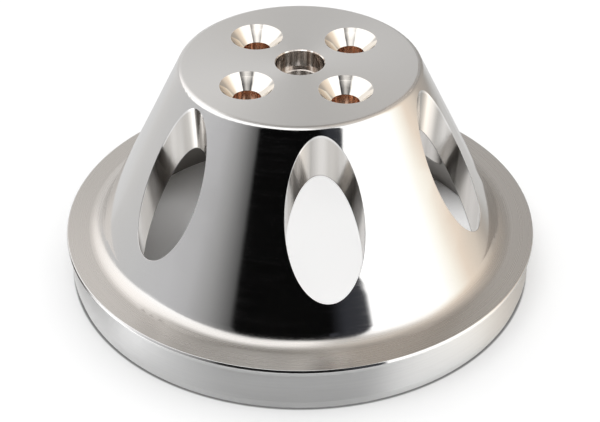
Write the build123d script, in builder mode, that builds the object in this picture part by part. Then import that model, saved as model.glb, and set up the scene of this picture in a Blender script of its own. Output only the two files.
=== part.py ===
from build123d import *
import math
import os

# Bell-shaped belt pulley in bright metal, millimetres. It stands on the open end of its
# rim with the nose up: +Z runs along the axis from the rim to the nose, the origin is the
# middle of the rim's flat end, and -Y is the side that the nearest window looks out of.

# Overall sizes
HEIGHT = 78.2
LIP_RADIUS = 81.0            # 162 mm outside diameter
FLANGE_TOP = 17.0            # height of the flat annulus outside the cone

# Cone, outside and inside: radius = foot radius - height * slope
CONE_FOOT_RADIUS = 77.8
CONE_SLOPE = 0.4893          # 26 degrees from the axis
BORE_FOOT_RADIUS = 69.2
BORE_SLOPE = 0.4825
NOSE_THICKNESS = 12.7
NOSE_EDGE_ROUND = 2.0
FLANGE_FILLET = 6.0
ROOF_FILLET = 2.5            # inside corner under the nose

# Rim: lip on the body, with the belt ring below it
LIP_HEIGHT = 1.05
LIP_LAND = 0.15              # straight part of the lip's edge; above it the edge is bevelled
LIP_TOP_RADIUS = 80.75
LIP_EDGE_ROUND = 0.3
RING_SEAT_RADIUS = 75.0
RING_TOP_RADIUS = 80.9
BAND_RADIUS = 80.0
BAND_TOP = 13.95
BAND_BOTTOM = 3.1
RING_FOOT_RADIUS = 79.2
SEAM_CHAMFER = 0.4

# Windows: one cutter, fed almost parallel to the axis, makes each opening in the cone
WINDOW_COUNT = 6
WINDOW_RADIUS = 12.45
WINDOW_HEIGHT = 52.4         # where the cutter's axis meets the outside of the cone
WINDOW_LEAN = 2.35           # degrees that the cutter leans outwards at the top
WINDOW_TURN = 8.5            # degrees from -Y towards +X
WINDOW_EDGE_ROUND = 0.1

# Bolt circle and the bushed pilot bore
BOLT_COUNT = 4
BOLT_CIRCLE_RADIUS = 22.225  # 1.75 in bolt circle
BOLT_TURN = 40.6             # degrees from -Y towards +X
BOLT_HOLE_RADIUS = 4.6
COUNTERSINK_RADIUS = 8.7
COUNTERSINK_ANGLE = 82       # of an inch-size flat head
SLEEVE_RADIUS = 5.9
SLEEVE_LEDGE = 0.1           # body metal left between countersink and sleeve
PILOT_RADIUS = 7.94          # 5/8 in
PILOT_CHAMFER = 0.3
BUSH_SEAT_RADIUS = 9.0       # outside of the bush, wider than the bore in front of it
BUSH_RADIUS = 6.35           # 1/2 in
BUSH_DEPTH = 6.6             # below the nose face
EDGE_BREAK = 0.3

# Worked out from the sizes above
NOSE_RADIUS = CONE_FOOT_RADIUS - HEIGHT * CONE_SLOPE
FLANGE_ROOT_RADIUS = CONE_FOOT_RADIUS - FLANGE_TOP * CONE_SLOPE
ROOF = HEIGHT - NOSE_THICKNESS
ROOF_RADIUS = BORE_FOOT_RADIUS - ROOF * BORE_SLOPE
LIP_UNDERSIDE = FLANGE_TOP - LIP_HEIGHT
WINDOW_PITCH_RADIUS = CONE_FOOT_RADIUS - WINDOW_HEIGHT * CONE_SLOPE
COUNTERSINK_DEPTH = (COUNTERSINK_RADIUS - BOLT_HOLE_RADIUS) / math.tan(math.radians(COUNTERSINK_ANGLE / 2))
SLEEVE_TOP = HEIGHT - COUNTERSINK_DEPTH - SLEEVE_LEDGE
BUSH_TOP = HEIGHT - BUSH_DEPTH

os.makedirs("parts", exist_ok=True)


def bearing(turn):
    """Angle from +X of a direction given in degrees from -Y towards +X."""
    return turn - 90


def corner(section, radius, height):
    """The corner of a half section that is nearest to a radius and a height."""
    return section.vertices().sort_by_distance((radius, height))[0]


def window_plane(turn):
    """Plane on the cone whose normal is the axis of the cutter for one window."""
    angle = math.radians(bearing(turn))
    lean = math.radians(WINDOW_LEAN)
    outward = Vector(math.cos(angle), math.sin(angle), 0)
    sideways = Vector(-math.sin(angle), math.cos(angle), 0)
    axis = outward * math.sin(lean) + Vector(0, 0, 1) * math.cos(lean)
    centre = outward * WINDOW_PITCH_RADIUS + Vector(0, 0, WINDOW_HEIGHT)
    return Plane(origin=centre, x_dir=sideways, z_dir=axis)


# Pulley body: nose, cone with its windows, flange and the seat for the belt ring
with BuildPart() as pulley_body:
    with BuildSketch(Plane.XZ) as half_section:
        with BuildLine():
            Polyline(
                (0, ROOF),
                (ROOF_RADIUS, ROOF),
                (BORE_FOOT_RADIUS, 0),
                (RING_SEAT_RADIUS, 0),
                (RING_SEAT_RADIUS, LIP_UNDERSIDE),
                (LIP_RADIUS, LIP_UNDERSIDE),
                (LIP_RADIUS, LIP_UNDERSIDE + LIP_LAND),
                (LIP_TOP_RADIUS, FLANGE_TOP),
                (FLANGE_ROOT_RADIUS, FLANGE_TOP),
                (NOSE_RADIUS, HEIGHT),
                (0, HEIGHT),
                close=True,
            )
        make_face()
        fillet(corner(half_section, NOSE_RADIUS, HEIGHT), NOSE_EDGE_ROUND)
        fillet(corner(half_section, FLANGE_ROOT_RADIUS, FLANGE_TOP), FLANGE_FILLET)
        fillet(corner(half_section, ROOF_RADIUS, ROOF), ROOF_FILLET)
        fillet(corner(half_section, LIP_TOP_RADIUS, FLANGE_TOP), LIP_EDGE_ROUND)
        chamfer(corner(half_section, RING_SEAT_RADIUS, 0), SEAM_CHAMFER)
    revolve(axis=Axis.Z)

    for index in range(WINDOW_COUNT):
        turn = WINDOW_TURN + index * 360 / WINDOW_COUNT
        with BuildSketch(window_plane(turn)):
            Circle(WINDOW_RADIUS)
        extrude(amount=HEIGHT, both=True, mode=Mode.SUBTRACT)
    fillet(pulley_body.edges().filter_by(GeomType.BSPLINE), WINDOW_EDGE_ROUND)

    with Locations((0, 0, HEIGHT)):
        with PolarLocations(BOLT_CIRCLE_RADIUS, BOLT_COUNT, start_angle=bearing(BOLT_TURN)):
            CounterSinkHole(BOLT_HOLE_RADIUS, COUNTERSINK_RADIUS, counter_sink_angle=COUNTERSINK_ANGLE)
        Hole(PILOT_RADIUS)
    with BuildSketch(Plane.XY.offset(ROOF)):
        with PolarLocations(BOLT_CIRCLE_RADIUS, BOLT_COUNT, start_angle=bearing(BOLT_TURN)):
            Circle(SLEEVE_RADIUS)
    extrude(amount=SLEEVE_TOP - ROOF, mode=Mode.SUBTRACT)
    with BuildSketch(Plane.XY.offset(ROOF)):
        Circle(BUSH_SEAT_RADIUS)
    extrude(amount=BUSH_TOP - ROOF, mode=Mode.SUBTRACT)

    nose_face = pulley_body.faces().filter_by(Axis.Z).sort_by(Axis.Z)[-1]
    pilot_edge = nose_face.edges().filter_by(GeomType.CIRCLE).sort_by(lambda e: e.radius)[0]
    chamfer(pilot_edge, PILOT_CHAMFER)

# Belt ring: the plain turned band, bevelled at both ends, shrunk onto its seat
with BuildPart() as belt_ring:
    with BuildSketch(Plane.XZ) as ring_section:
        with BuildLine():
            Polyline(
                (RING_SEAT_RADIUS, 0),
                (RING_FOOT_RADIUS, 0),
                (BAND_RADIUS, BAND_BOTTOM),
                (BAND_RADIUS, BAND_TOP),
                (RING_TOP_RADIUS, LIP_UNDERSIDE),
                (RING_SEAT_RADIUS, LIP_UNDERSIDE),
                close=True,
            )
        make_face()
        chamfer(corner(ring_section, RING_SEAT_RADIUS, 0), SEAM_CHAMFER)
    revolve(axis=Axis.Z)

# Pilot bush: pressed in from behind, it narrows the bore and leaves a ledge inside it
with BuildPart() as pilot_bush:
    with BuildSketch(Plane.XY.offset(ROOF)):
        Circle(BUSH_SEAT_RADIUS)
        Circle(BUSH_RADIUS, mode=Mode.SUBTRACT)
    extrude(amount=BUSH_TOP - ROOF)
    rims = pilot_bush.edges().filter_by(GeomType.CIRCLE)
    chamfer(rims.filter_by(lambda e: e.radius < PILOT_RADIUS), EDGE_BREAK)

# Bolt sleeves: one copper-alloy sleeve in each bolt hole, pushed in from behind
bolt_sleeves = []
for index in range(BOLT_COUNT):
    angle = math.radians(bearing(BOLT_TURN + index * 360 / BOLT_COUNT))
    centre = (BOLT_CIRCLE_RADIUS * math.cos(angle), BOLT_CIRCLE_RADIUS * math.sin(angle), ROOF)
    with BuildPart() as bolt_sleeve:
        with BuildSketch(Plane(origin=centre)):
            Circle(SLEEVE_RADIUS)
            Circle(BOLT_HOLE_RADIUS, mode=Mode.SUBTRACT)
        extrude(amount=SLEEVE_TOP - ROOF)
        chamfer(bolt_sleeve.faces().sort_by(Axis.Z)[0].edges(), EDGE_BREAK)
    bolt_sleeves.append(bolt_sleeve)

pulley_body.part.label = "pulley_body"
export_step(pulley_body.part, "parts/pulley_body.step")
belt_ring.part.label = "belt_ring"
export_step(belt_ring.part, "parts/belt_ring.step")
pilot_bush.part.label = "pilot_bush"
export_step(pilot_bush.part, "parts/pilot_bush.step")
for index, bolt_sleeve in enumerate(bolt_sleeves, start=1):
    bolt_sleeve.part.label = f"bolt_sleeve_{index}"
    export_step(bolt_sleeve.part, f"parts/bolt_sleeve_{index}.step")
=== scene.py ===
import math

import bpy
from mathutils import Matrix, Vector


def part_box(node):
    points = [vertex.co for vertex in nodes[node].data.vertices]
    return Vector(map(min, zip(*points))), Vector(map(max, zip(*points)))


# Bell-shaped belt pulley in bright turned metal, standing on its rim on a pale floor.
# Metres, +Z up the axis of the pulley, -Y towards the camera. Bearings are in degrees
# from -Y towards +X, heights of directions in degrees above the horizon.

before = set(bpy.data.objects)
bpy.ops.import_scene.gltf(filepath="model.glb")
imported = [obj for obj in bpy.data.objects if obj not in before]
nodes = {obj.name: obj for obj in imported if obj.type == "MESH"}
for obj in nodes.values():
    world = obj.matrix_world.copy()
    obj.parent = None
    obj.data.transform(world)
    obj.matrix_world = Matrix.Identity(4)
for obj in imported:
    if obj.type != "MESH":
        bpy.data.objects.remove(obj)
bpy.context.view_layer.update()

# Heights and radii of the nose, lip and flange, from the part boxes in model.glb and the lip's given
# sizes
_, body_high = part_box("pulley_body")
_, ring_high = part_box("belt_ring")
NOSE_Z = body_high.z
LIP_RADIUS = body_high.x
LIP_HEIGHT = 0.00105
LIP_EDGE = 0.00055           # width of the lip's rounded and bevelled edge
FLANGE_Z = ring_high.z + LIP_HEIGHT
FLANGE_END_RADIUS = LIP_RADIUS - LIP_EDGE

# The cone outside and the bore inside: radius = foot - height * slope
CONE_FOOT = 0.0778
CONE_SLOPE = 0.4893
BORE_FOOT = 0.0692
BORE_SLOPE = 0.4825
ROOF_Z = 0.0655              # inside of the nose

# Windows and holes; each turn is in degrees from -Y towards +X
WINDOW_COUNT = 6
WINDOW_TURN = 8.5
WINDOW_PITCH_RADIUS = 0.0522
BOLT_COUNT = 4
BOLT_TURN = 40.6
BOLT_CIRCLE_RADIUS = 0.022225
COUNTERSINK_RADIUS = 0.0087
COUNTERSINK_FOOT = 0.0732    # just below the foot of the countersinks
PILOT_EDGE_RADIUS = 0.0083

# Camera
CAMERA_LENS = 86.0
SENSOR_WIDTH = 36.0
CAMERA_PLACE = (0.0, -0.4048, 0.3132)
CAMERA_AIM_HEIGHT = 0.0184

FLOOR_HALF = 6.0
MIRRORED_FLOOR = 0.083       # the metal mirrors the floor out to here
MIRROR_END = 0.09296         # and only the tent from here on


def make_camera():
    """Looks down on the pulley from the front, straight along +Y in plan."""
    data = bpy.data.cameras.new("camera")
    data.lens = CAMERA_LENS
    data.sensor_width = SENSOR_WIDTH
    data.clip_start = 0.01
    data.clip_end = 50.0
    camera = bpy.data.objects.new("camera", data)
    bpy.context.scene.collection.objects.link(camera)
    camera.location = CAMERA_PLACE
    drop = CAMERA_PLACE[2] - CAMERA_AIM_HEIGHT
    camera.rotation_euler = (math.atan2(-CAMERA_PLACE[1], drop), 0.0, 0.0)
    bpy.context.scene.camera = camera


# ---------------------------------------------------------------- node helpers


class Tree:
    """Short calls for building one node tree."""

    def __init__(self, tree):
        self.tree = tree
        tree.nodes.clear()

    def node(self, kind, **settings):
        made = self.tree.nodes.new(kind)
        for name, value in settings.items():
            setattr(made, name, value)
        return made

    def put(self, socket, value):
        if isinstance(value, bpy.types.NodeSocket):
            self.tree.links.new(value, socket)
        else:
            socket.default_value = value

    def maths(self, operation, *values):
        made = self.node("ShaderNodeMath", operation=operation)
        for socket, value in zip(made.inputs, values):
            self.put(socket, value)
        return made.outputs[0]

    def ramp(self, value, low, high, smooth=True, to=(0.0, 1.0)):
        """Goes from to[0] at low to to[1] at high, and stays there outside."""
        kind = "SMOOTHSTEP" if smooth else "LINEAR"
        made = self.node("ShaderNodeMapRange", interpolation_type=kind, clamp=True)
        self.put(made.inputs["Value"], value)
        made.inputs["From Min"].default_value = low
        made.inputs["From Max"].default_value = high
        made.inputs["To Min"].default_value, made.inputs["To Max"].default_value = to
        return made.outputs["Result"]

    def mix(self, factor, first, second):
        """Mixes two colours; 6, 7 and 2 are the node's colour sockets."""
        made = self.node("ShaderNodeMix", data_type="RGBA")
        self.put(made.inputs["Factor"], factor)
        self.put(made.inputs[6], first)
        self.put(made.inputs[7], second)
        return made.outputs[2]

    def blend(self, factor, first, second):
        """Mixes two plain numbers; 2, 3 and 0 are the node's sockets for those."""
        made = self.node("ShaderNodeMix", data_type="FLOAT")
        self.put(made.inputs[0], factor)
        self.put(made.inputs[2], first)
        self.put(made.inputs[3], second)
        return made.outputs[0]

    def colours(self, value, stops):
        """A colour ramp through stops, each a place from 0 to 1 and its colour."""
        made = self.node("ShaderNodeValToRGB")
        self.put(made.inputs["Fac"], value)
        elements = made.color_ramp.elements
        while len(elements) > 1:
            elements.remove(elements[0])
        elements[0].position = stops[0][0]
        elements[0].color = (*stops[0][1], 1.0)
        for place, colour in stops[1:]:
            elements.new(place).color = (*colour, 1.0)
        return made.outputs["Color"]

    def noise(self, vector, scale, detail=2.0, roughness=0.5):
        made = self.node("ShaderNodeTexNoise")
        self.put(made.inputs["Vector"], vector)
        made.inputs["Scale"].default_value = scale
        made.inputs["Detail"].default_value = detail
        made.inputs["Roughness"].default_value = roughness
        return made.outputs["Fac"]

    def vector(self, x, y, z):
        made = self.node("ShaderNodeCombineXYZ")
        for socket, value in zip(made.inputs, (x, y, z)):
            self.put(socket, value)
        return made.outputs[0]


# ---------------------------------------------------------------- the studio

WHITE = (1.0, 1.0, 1.0, 1.0)

# What stands round the pulley at low heights, by bearing: a pale wall on the left that fades
# towards the front, a dark gap in front, a white softbox and a warm wall on the right
LOW_STOPS = (
    (-180, (0.94, 0.93, 0.915)),
    (-140, (0.80, 0.79, 0.78)),
    (-100, (0.74, 0.74, 0.745)),
    (-75, (0.70, 0.70, 0.715)),
    (-62, (0.62, 0.62, 0.63)),
    (-50, (0.43, 0.43, 0.43)),
    (-36.5, (0.13, 0.13, 0.13)),
    (-34.5, (0.003, 0.003, 0.003)),
    (16, (0.003, 0.003, 0.003)),
    (24, (0.040, 0.042, 0.050)),
    (36.3, (0.055, 0.057, 0.065)),
    (38.0, (1.7, 1.7, 1.7)),
    (80, (1.6, 1.6, 1.58)),
    (90, (1.40, 1.35, 1.22)),
    (100, (1.14, 0.98, 0.82)),
    (112, (0.93, 0.82, 0.70)),
    (125, (0.58, 0.52, 0.46)),
    (150, (0.42, 0.40, 0.375)),
    (168, (0.52, 0.505, 0.49)),
    (180, (0.94, 0.93, 0.915)),
)

# Higher up: the overhead softbox in front and on the left, a dimmer warm ceiling elsewhere
HIGH_STOPS = (
    (-180, (0.24, 0.225, 0.205)),
    (-165, (0.75, 0.72, 0.69)),
    (-150, (1.30, 1.27, 1.24)),
    (-120, (1.60, 1.58, 1.56)),
    (-80, (1.55, 1.55, 1.55)),
    (8, (1.90, 1.88, 1.86)),
    (26, (1.05, 1.03, 1.01)),
    (50, (0.86, 0.84, 0.82)),
    (90, (0.92, 0.86, 0.78)),
    (112, (0.86, 0.77, 0.68)),
    (150, (0.60, 0.545, 0.49)),
    (168, (0.34, 0.315, 0.285)),
    (180, (0.22, 0.205, 0.185)),
)
DARK_CARD = (0.12, 0.11, 0.10, 1.0)
UPPER_BACK = (0.30, 0.285, 0.265, 1.0)
ZENITH = (0.80, 0.79, 0.77, 1.0)

# Below the horizon: pale, with a bright panel on either side, for the upright band to mirror
BELOW_STOPS = (
    (-180, (0.70, 0.70, 0.70)),
    (-136, (0.85, 0.85, 0.85)),
    (-122, (0.42, 0.42, 0.42)),
    (-106, (2.00, 2.00, 2.00)),
    (-88, (2.40, 2.40, 2.40)),
    (-66, (1.10, 1.10, 1.10)),
    (-44, (0.96, 0.96, 0.96)),
    (-22, (1.10, 1.10, 1.10)),
    (22, (1.10, 1.10, 1.10)),
    (44, (0.80, 0.80, 0.795)),
    (66, (1.35, 1.31, 1.26)),
    (88, (1.80, 1.70, 1.58)),
    (108, (1.05, 1.00, 0.94)),
    (124, (0.62, 0.62, 0.60)),
    (140, (0.70, 0.69, 0.67)),
    (180, (0.70, 0.70, 0.70)),
)
TURN = 360.0
HIGH_EDGE = 38.0             # where high takes over from low, in degrees above the horizon
FRONT_RISE = 13.5            # how much higher that is in front and on the right
LEFT_DROP = 27.0             # how much lower the overhead softbox hangs on the left
EDGE_SOFTNESS = 5.0
FRONT_SOFTNESS = 3.5

# Bearings or heights where each part of the tent begins and where it is full
LEFT_FROM_FRONT = (-30.0, -85.0)
LEFT_FROM_BACK = (-175.0, -130.0)
FRONT_FROM_LEFT = (-80.0, -38.0)
FRONT_FROM_RIGHT = (130.0, 95.0)
BACK_FROM_LEFT = (-95.0, -125.0)
BACK_FROM_RIGHT = (158.0, 172.0)
UPPER_BACK_HEIGHTS = (50.0, 62.0)
ZENITH_HEIGHTS = (76.0, 89.0)
BELOW_HEIGHTS = (-15.0, -21.0)
CARD_LOWER_EDGE = (-41.5, -39.0)
CARD_UPPER_EDGE = (-20.0, -25.0)
CARD_FRONT_EDGE = (-88.0, -100.0)
CARD_BACK_EDGE = (-142.0, -130.0)


def make_studio():
    """A light tent that only gloss shows: the camera and diffuse rays see plain white."""
    world = bpy.data.worlds.new("studio")
    bpy.context.scene.world = world
    world.use_nodes = True
    t = Tree(world.node_tree)
    direction = t.node("ShaderNodeTexCoord").outputs["Generated"]
    split = t.node("ShaderNodeSeparateXYZ")
    t.put(split.inputs[0], direction)
    x, y, z = split.outputs
    bearing = t.maths("DEGREES", t.maths("ARCTAN2", x, t.maths("MULTIPLY", y, -1.0)))
    height = t.maths("DEGREES", t.maths("ARCSINE", z))

    place = t.ramp(bearing, -TURN / 2, TURN / 2, smooth=False)
    low, high, below = (
        t.colours(place, [((angle + TURN / 2) / TURN, colour) for angle, colour in stops])
        for stops in (LOW_STOPS, HIGH_STOPS, BELOW_STOPS)
    )
    on_the_left = t.maths("MULTIPLY", t.ramp(bearing, *LEFT_FROM_FRONT, smooth=False),
                          t.ramp(bearing, *LEFT_FROM_BACK))
    in_front = t.maths("MULTIPLY", t.ramp(bearing, *FRONT_FROM_LEFT),
                       t.ramp(bearing, *FRONT_FROM_RIGHT))
    edge = t.maths("SUBTRACT", HIGH_EDGE, t.maths("MULTIPLY", on_the_left, LEFT_DROP))
    edge = t.maths("ADD", edge, t.maths("MULTIPLY", in_front, FRONT_RISE))
    above = t.maths("SUBTRACT", height, edge)
    above = t.maths("DIVIDE", above, t.blend(in_front, EDGE_SOFTNESS, FRONT_SOFTNESS))
    tent = t.mix(t.ramp(above, -1.0, 1.0), low, high)
    # The tent is dim high up behind the pulley and on the left of that
    at_the_back = t.maths("MAXIMUM", t.ramp(bearing, *BACK_FROM_LEFT),
                          t.ramp(bearing, *BACK_FROM_RIGHT))
    high_at_the_back = t.maths("MULTIPLY", at_the_back, t.ramp(height, *UPPER_BACK_HEIGHTS))
    tent = t.mix(high_at_the_back, tent, UPPER_BACK)
    tent = t.mix(t.ramp(height, *ZENITH_HEIGHTS), tent, ZENITH)
    tent = t.mix(t.ramp(height, *BELOW_HEIGHTS), tent, below)

    # A dark card low on the left, meant for the upright walls of the windows
    card = t.maths("MULTIPLY", t.ramp(height, *CARD_LOWER_EDGE), t.ramp(height, *CARD_UPPER_EDGE))
    card = t.maths("MULTIPLY", card, t.ramp(bearing, *CARD_FRONT_EDGE))
    card = t.maths("MULTIPLY", card, t.ramp(bearing, *CARD_BACK_EDGE))
    tent = t.mix(card, tent, DARK_CARD)

    path = t.node("ShaderNodeLightPath")
    seen = t.mix(path.outputs["Is Camera Ray"], tent, WHITE)
    lit = t.mix(path.outputs["Is Diffuse Ray"], seen, WHITE)
    background = t.node("ShaderNodeBackground")
    t.put(background.inputs["Color"], lit)
    output = t.node("ShaderNodeOutputWorld")
    t.put(output.inputs["Surface"], background.outputs[0])


PAPER = (0.93, 0.93, 0.93, 1.0)
# Painted contact shadow: a dark ring on the paper round the rim's foot
CONTACT_SHADOW_PAINT = (0.25, 0.25, 0.25, 1.0)
CONTACT_START = 0.0797       # the painted contact shadow is darkest here, just past the rim's foot
CONTACT_END = 0.0804         # and has faded out here
# Painted light: inside the bell the paper glows, though no lamp is there
PAINTED_GLOW_STRENGTH = 0.62
PAINTED_GLOW_MARGIN = 0.0005         # the painted glow stops this far inside the rim
PAINTED_GLOWS = (
    # middle, radius of the full glow, radius where it ends
    ((0.010, 0.010, 0.0), 0.036, 0.055),
    ((0.066, 0.004, 0.0), 0.013, 0.044),
)


def distance_to(t, point, centre):
    made = t.node("ShaderNodeVectorMath", operation="DISTANCE")
    t.put(made.inputs[0], point)
    made.inputs[1].default_value = centre
    return made.outputs["Value"]


def make_floor():
    """White paper with a painted contact shadow under the rim and a painted glow inside the bell."""
    mesh = bpy.data.meshes.new("floor")
    corners = [(-FLOOR_HALF, -FLOOR_HALF, 0), (FLOOR_HALF, -FLOOR_HALF, 0)]
    corners += [(FLOOR_HALF, FLOOR_HALF, 0), (-FLOOR_HALF, FLOOR_HALF, 0)]
    mesh.from_pydata(corners, [], [(0, 1, 2, 3)])
    floor = bpy.data.objects.new("floor", mesh)
    bpy.context.scene.collection.objects.link(floor)
    material = bpy.data.materials.new("floor_paper")
    material.use_nodes = True
    t = Tree(material.node_tree)
    diffuse = t.node("ShaderNodeBsdfDiffuse")
    point = t.node("ShaderNodeTexCoord").outputs["Object"]
    length = t.node("ShaderNodeVectorMath", operation="LENGTH")
    t.put(length.inputs[0], point)
    from_axis = length.outputs["Value"]
    rays = t.node("ShaderNodeLightPath")

    # Painted shadow where the rim touches the paper and hardly any light gets in; only camera rays
    # see it
    painted_contact_shadow = t.maths("MULTIPLY", t.ramp(from_axis, CONTACT_END, CONTACT_START),
                       t.ramp(from_axis, BORE_FOOT, CONTACT_START))
    painted_contact_shadow = t.maths("MULTIPLY", painted_contact_shadow, rays.outputs["Is Camera Ray"])
    t.put(diffuse.inputs["Color"], t.mix(painted_contact_shadow, PAPER, CONTACT_SHADOW_PAINT))

    # Far out, gloss sees through the paper to the tent
    far = t.maths("MULTIPLY", t.ramp(from_axis, MIRRORED_FLOOR, MIRROR_END),
                  rays.outputs["Is Glossy Ray"])

    # Painted light: the paper itself glows inside the bell, in the middle and on the right
    painted_glow_pools = [t.ramp(distance_to(t, point, centre), gone, full) for centre, full, gone in PAINTED_GLOWS]
    inside = t.ramp(from_axis, BORE_FOOT, BORE_FOOT - PAINTED_GLOW_MARGIN)
    glow = t.node("ShaderNodeEmission")
    painted_glow_amount = t.maths("MULTIPLY", t.maths("MAXIMUM", *painted_glow_pools), inside)
    t.put(glow.inputs["Strength"], t.maths("MULTIPLY", painted_glow_amount, PAINTED_GLOW_STRENGTH))
    paper = t.node("ShaderNodeAddShader")
    t.put(paper.inputs[0], diffuse.outputs[0])
    t.put(paper.inputs[1], glow.outputs[0])
    mixed = t.node("ShaderNodeMixShader")
    t.put(mixed.inputs[0], far)
    t.put(mixed.inputs[1], paper.outputs[0])
    t.put(mixed.inputs[2], t.node("ShaderNodeBsdfTransparent").outputs[0])
    output = t.node("ShaderNodeOutputMaterial")
    t.put(output.inputs["Surface"], mixed.outputs[0])
    mesh.materials.append(material)


def make_light(name, place, aim, size, power):
    """A round area light that neither the camera nor gloss sees."""
    data = bpy.data.lights.new(name, "AREA")
    data.shape = "DISK"
    data.size = size
    data.energy = power
    light = bpy.data.objects.new(name, data)
    bpy.context.scene.collection.objects.link(light)
    light.location = place
    away = [p - q for p, q in zip(place, aim)]
    flat = math.hypot(away[0], away[1])
    light.rotation_euler = (math.atan2(flat, away[2]), 0.0, math.atan2(away[0], -away[1]))
    light.visible_glossy = False
    light.visible_camera = False


# ---------------------------------------------------------------- materials


class Place:
    """Where a point of the pulley is: its radius and height, and its bearing in radians."""

    def __init__(self, t):
        self.t = t
        point = t.node("ShaderNodeTexCoord").outputs["Object"]
        split = t.node("ShaderNodeSeparateXYZ")
        t.put(split.inputs[0], point)
        self.x, self.y, self.z = split.outputs
        self.radius = t.maths("SQRT", t.maths("ADD", t.maths("MULTIPLY", self.x, self.x),
                                              t.maths("MULTIPLY", self.y, self.y)))
        self.bearing = t.maths("ARCTAN2", self.x, t.maths("MULTIPLY", self.y, -1.0))

    def around(self, count, turn, circle):
        """Distance and angle from the nearest of count axes, evenly spaced on a circle."""
        t = self.t
        step = 2 * math.pi / count
        shifted = t.maths("SUBTRACT", self.bearing, math.radians(turn))
        nearest = t.maths("MULTIPLY", t.maths("ROUND", t.maths("DIVIDE", shifted, step)), step)
        angle = t.maths("SUBTRACT", shifted, nearest)
        out = t.maths("SUBTRACT", t.maths("MULTIPLY", self.radius, t.maths("COSINE", angle)), circle)
        side = t.maths("MULTIPLY", self.radius, t.maths("SINE", angle))
        distance = t.maths("SQRT", t.maths("ADD", t.maths("MULTIPLY", out, out),
                                           t.maths("MULTIPLY", side, side)))
        return distance, t.maths("ARCTAN2", side, out), nearest

    def turning_marks(self, per_metre, drift=3.0):
        """Fine lines round the axis, as a lathe tool leaves them; they fade in and out slowly."""
        t = self.t
        lines = t.vector(t.maths("MULTIPLY", self.radius, per_metre),
                         t.maths("MULTIPLY", self.z, per_metre),
                         t.maths("MULTIPLY", t.maths("SINE", self.bearing), drift))
        return t.noise(lines, 1.0, detail=3.0, roughness=0.65)


# A quarter turn, so that gloss spreads across the turning marks and not along them
ACROSS_THE_MARKS = 0.25


def metal(name, anisotropic):
    """A metallic material, its node tree and its shader, ready for colour and roughness."""
    material = bpy.data.materials.new(name)
    material.use_nodes = True
    t = Tree(material.node_tree)
    shader = t.node("ShaderNodeBsdfPrincipled")
    shader.inputs["Metallic"].default_value = 1.0
    shader.inputs["Anisotropic"].default_value = anisotropic
    shader.inputs["Anisotropic Rotation"].default_value = ACROSS_THE_MARKS
    tangent = t.node("ShaderNodeTangent", direction_type="RADIAL", axis="Z")
    t.put(shader.inputs["Tangent"], tangent.outputs[0])
    output = t.node("ShaderNodeOutputMaterial")
    t.put(output.inputs["Surface"], shader.outputs[0])
    return material, t, shader


def bump(t, shader, height, distance):
    made = t.node("ShaderNodeBump")
    made.inputs["Strength"].default_value = 1.0
    made.inputs["Distance"].default_value = distance
    t.put(made.inputs["Height"], height)
    t.put(shader.inputs["Normal"], made.outputs[0])


def dress(node, material):
    """Gives a piece its one material."""
    data = nodes[node].data
    data.materials.clear()
    data.materials.append(material)


# Tones of the body's surfaces; a pair is mixed by the marks, streaks or clouds on them.
# The pilot bore's two tones are far apart, as its upright streaks are painted reflections.
CONE_TONES = ((0.665, 0.658, 0.650, 1.0), (0.700, 0.693, 0.686, 1.0))
NOSE_TONES = ((0.665, 0.660, 0.655, 1.0), (0.695, 0.690, 0.685, 1.0))
WALL_TONES = ((0.52, 0.50, 0.475, 1.0), (0.66, 0.64, 0.62, 1.0))
# Painted shade: the bored inside of the bell is far darker than the cone
BORED_TONES_AND_PAINTED_SHADE = ((0.26, 0.25, 0.235, 1.0), (0.36, 0.345, 0.33, 1.0))
PILOT_PAINTED_REFLECTION_TONES = ((0.40, 0.335, 0.29, 1.0), (0.90, 0.86, 0.82, 1.0))
FLANGE_TONE = (0.640, 0.615, 0.590, 1.0)
SINK_TONE = (0.74, 0.71, 0.67, 1.0)
FLANGE_SHARE = 0.9           # how much of its own tone the flange takes

# Roughness of the same surfaces
CONE_ROUGHNESS = (0.06, 0.19)
FLANGE_ROUGHNESS = (0.26, 0.30)
NOSE_ROUGHNESS = (0.28, 0.32)
WALL_ROUGHNESS = (0.09, 0.16)
BORED_ROUGHNESS = 0.38
SINK_ROUGHNESS = 0.05
PILOT_ROUGHNESS = 0.16

# Heights of the relief, against the coarse turning marks on the cone
FINE_RELIEF = 0.35
STREAK_RELIEF = 5.0
SATIN_RELIEF = 0.12          # share of the cone's relief that nose and flange have
BODY_RELIEF = 1.0e-6

# Where a zone begins and where it is full, in metres from the surface that it goes by
BELOW_NOSE_EDGE = (-0.0012, -0.0014)
NOSE_EDGE = (-0.0004, -0.0001)
UNDER_CONE_EDGE = (0.0003, 0.0006)
BORE_EDGE = (0.0004, 0.0001)
ROOF_EDGE = (0.0007, -0.0003)
FLANGE_EDGE = (0.0032, 0.0008)
FLANGE_END_EDGE = (0.00003, -0.00005)
SINK_EDGE = (0.0001, 0.0)
SINK_FOOT_EDGE = (-0.0002, 0.0)
PILOT_EDGE = (0.0, -0.0001)
PILOT_FOOT_EDGE = (0.0, 0.0003)

# Stretches of a noise that a ramp spreads out
WIDE = (0.2, 0.8)
MIDDLE = (0.3, 0.7)
UPPER = (0.3, 0.8)
NARROW = (0.40, 0.60)
CONE_STRETCH = (0.40, 0.75)


def zone(t, value, surface, edge):
    """1 inside a zone that begins and ends near a surface, 0 outside."""
    return t.ramp(value, surface + edge[0], surface + edge[1])


def slanted(t, z, foot, slope):
    """Radius of a cone at height z."""
    return t.maths("SUBTRACT", foot, t.maths("MULTIPLY", z, slope))


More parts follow.
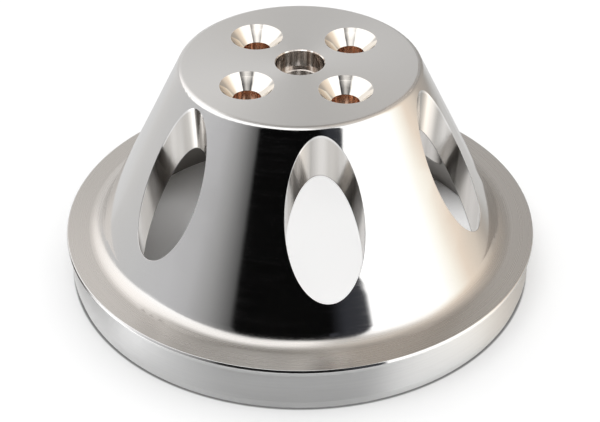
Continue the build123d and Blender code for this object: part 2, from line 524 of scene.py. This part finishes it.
def make_body_metal():
    """Polished cone, satin nose, turned flange, milled window walls, bored inside darkened with
    painted shade, and painted reflections in the pilot bore.
    """
    material, t, shader = metal("body_metal", 0.75)
    place = Place(t)
    z, radius = place.z, place.radius

    # Zones
    depth = t.maths("SUBTRACT", slanted(t, z, CONE_FOOT, CONE_SLOPE), radius)
    inward = t.maths("MULTIPLY", zone(t, depth, 0.0, UNDER_CONE_EDGE),
                     zone(t, z, NOSE_Z, BELOW_NOSE_EDGE))
    to_bore = t.maths("SUBTRACT", radius, slanted(t, z, BORE_FOOT, BORE_SLOPE))
    bored = t.maths("MULTIPLY", zone(t, to_bore, 0.0, BORE_EDGE), zone(t, z, ROOF_Z, ROOF_EDGE))
    window_wall = t.maths("MULTIPLY", inward, t.maths("SUBTRACT", 1.0, bored))
    nose = zone(t, z, NOSE_Z, NOSE_EDGE)
    flange = t.maths("MULTIPLY", zone(t, z, FLANGE_Z, FLANGE_EDGE),
                     zone(t, radius, FLANGE_END_RADIUS, FLANGE_END_EDGE))
    hole_distance, _, _ = place.around(BOLT_COUNT, BOLT_TURN, BOLT_CIRCLE_RADIUS)
    sink = t.maths("MULTIPLY", zone(t, hole_distance, COUNTERSINK_RADIUS, SINK_EDGE),
                   zone(t, z, COUNTERSINK_FOOT, SINK_FOOT_EDGE))
    pilot = t.maths("MULTIPLY", zone(t, radius, PILOT_EDGE_RADIUS, PILOT_EDGE),
                    zone(t, z, ROOF_Z, PILOT_FOOT_EDGE))

    # Milling streaks run along each window's axis, so they change only with the angle round it
    _, wall_angle, wall_index = place.around(WINDOW_COUNT, WINDOW_TURN, WINDOW_PITCH_RADIUS)
    streak_place = t.vector(t.maths("COSINE", wall_angle), t.maths("SINE", wall_angle), wall_index)
    streaks = t.noise(streak_place, 9.0, detail=5.0, roughness=0.7)
    broad_streaks = t.noise(streak_place, 2.6, detail=1.0)
    # Upright streaks round the pilot bore: relief, and in its colour painted reflections
    bore_place = t.vector(t.maths("COSINE", place.bearing), t.maths("SINE", place.bearing), 0.0)
    bore_streaks_and_painted_reflections = t.ramp(t.noise(bore_place, 4.5, detail=1.0), *NARROW)

    fine = place.turning_marks(9000.0)
    coarse = place.turning_marks(2400.0, drift=1.2)
    clouds = t.noise(t.vector(place.x, place.y, z), 60.0, detail=3.0)

    # Colour
    colour = t.mix(clouds, *CONE_TONES)
    colour = t.mix(t.maths("MULTIPLY", flange, FLANGE_SHARE), colour, FLANGE_TONE)
    colour = t.mix(nose, colour, t.mix(coarse, *NOSE_TONES))
    colour = t.mix(window_wall, colour, t.mix(t.ramp(broad_streaks, *MIDDLE), *WALL_TONES))
    # Painted shade: dark tones on the bored inside of the bell
    colour = t.mix(bored, colour, t.mix(coarse, *BORED_TONES_AND_PAINTED_SHADE))
    # Pilot bore: painted reflections as light and dark upright streaks
    colour = t.mix(pilot, colour, t.mix(bore_streaks_and_painted_reflections, *PILOT_PAINTED_REFLECTION_TONES))
    colour = t.mix(sink, colour, SINK_TONE)
    t.put(shader.inputs["Base Color"], colour)

    # Roughness
    rough = t.ramp(fine, *CONE_STRETCH, to=CONE_ROUGHNESS)
    rough = t.blend(flange, rough, t.ramp(coarse, *WIDE, to=FLANGE_ROUGHNESS))
    rough = t.blend(nose, rough, t.ramp(coarse, *WIDE, to=NOSE_ROUGHNESS))
    rough = t.blend(window_wall, rough, t.ramp(streaks, *MIDDLE, to=WALL_ROUGHNESS))
    rough = t.blend(bored, rough, BORED_ROUGHNESS)
    rough = t.blend(sink, rough, SINK_ROUGHNESS)
    rough = t.blend(pilot, rough, PILOT_ROUGHNESS)
    t.put(shader.inputs["Roughness"], rough)

    # Relief: turning marks, but streaks in the milled windows and in the pilot bore
    satin = t.maths("MAXIMUM", nose, flange)
    marks = t.maths("ADD", t.maths("MULTIPLY", fine, FINE_RELIEF), coarse)
    marks = t.maths("MULTIPLY", marks, t.blend(satin, 1.0, SATIN_RELIEF))
    relief = t.blend(window_wall, marks, t.maths("MULTIPLY", streaks, STREAK_RELIEF))
    relief = t.blend(pilot, relief, bore_streaks_and_painted_reflections)
    bump(t, shader, relief, BODY_RELIEF)
    dress("pulley_body", material)


RING_TONES = ((0.63, 0.63, 0.63, 1.0), (0.70, 0.70, 0.695, 1.0))
RING_ROUGHNESS = (0.42, 0.56)
RING_RELIEF = 1.2e-6


def make_ring_metal():
    """Turned band, duller than the body."""
    material, t, shader = metal("ring_metal", 0.9)
    place = Place(t)
    fine = place.turning_marks(7000.0)
    coarse = place.turning_marks(1500.0, drift=1.2)
    t.put(shader.inputs["Base Color"], t.mix(coarse, *RING_TONES))
    t.put(shader.inputs["Roughness"], t.ramp(fine, *UPPER, to=RING_ROUGHNESS))
    bump(t, shader, t.maths("ADD", fine, coarse), RING_RELIEF)
    dress("belt_ring", material)


BUSH_TONES = ((0.50, 0.45, 0.41, 1.0), (0.66, 0.61, 0.57, 1.0))
BUSH_ROUGHNESS = (0.20, 0.34)
BUSH_RELIEF = 1.5e-6


def make_bush_metal():
    """Bored steel."""
    material, t, shader = metal("bush_metal", 0.5)
    place = Place(t)
    marks = place.turning_marks(5000.0)
    t.put(shader.inputs["Base Color"], t.mix(marks, *BUSH_TONES))
    t.put(shader.inputs["Roughness"], t.ramp(marks, *UPPER, to=BUSH_ROUGHNESS))
    bump(t, shader, marks, BUSH_RELIEF)
    dress("pilot_bush", material)


SLEEVE_TONES = ((0.62, 0.34, 0.22, 1.0), (0.90, 0.62, 0.46, 1.0))
SLEEVE_ROUGHNESS = (0.16, 0.30)
SLEEVE_RELIEF = 6.0e-6


def make_sleeve_metal():
    """Copper alloy, streaked along the holes."""
    material, t, shader = metal("sleeve_metal", 0.0)
    place = Place(t)
    _, angle, index = place.around(BOLT_COUNT, BOLT_TURN, BOLT_CIRCLE_RADIUS)
    ring_place = t.vector(t.maths("COSINE", angle), t.maths("SINE", angle), index)
    streaks = t.noise(ring_place, 8.0, detail=4.0, roughness=0.7)
    t.put(shader.inputs["Base Color"], t.mix(t.ramp(streaks, *MIDDLE), *SLEEVE_TONES))
    t.put(shader.inputs["Roughness"], t.ramp(streaks, *MIDDLE, to=SLEEVE_ROUGHNESS))
    bump(t, shader, streaks, SLEEVE_RELIEF)
    for number in range(1, BOLT_COUNT + 1):
        dress(f"bolt_sleeve_{number}", material)


make_camera()
make_studio()
make_floor()
make_light("overhead", place=(-0.2, -0.3, 1.2), aim=(0.0, 0.0, 0.0), size=0.9, power=3.0)
make_body_metal()
make_ring_metal()
make_bush_metal()
make_sleeve_metal()

scene = bpy.context.scene
scene.view_settings.view_transform = "Standard"
scene.view_settings.look = "None"
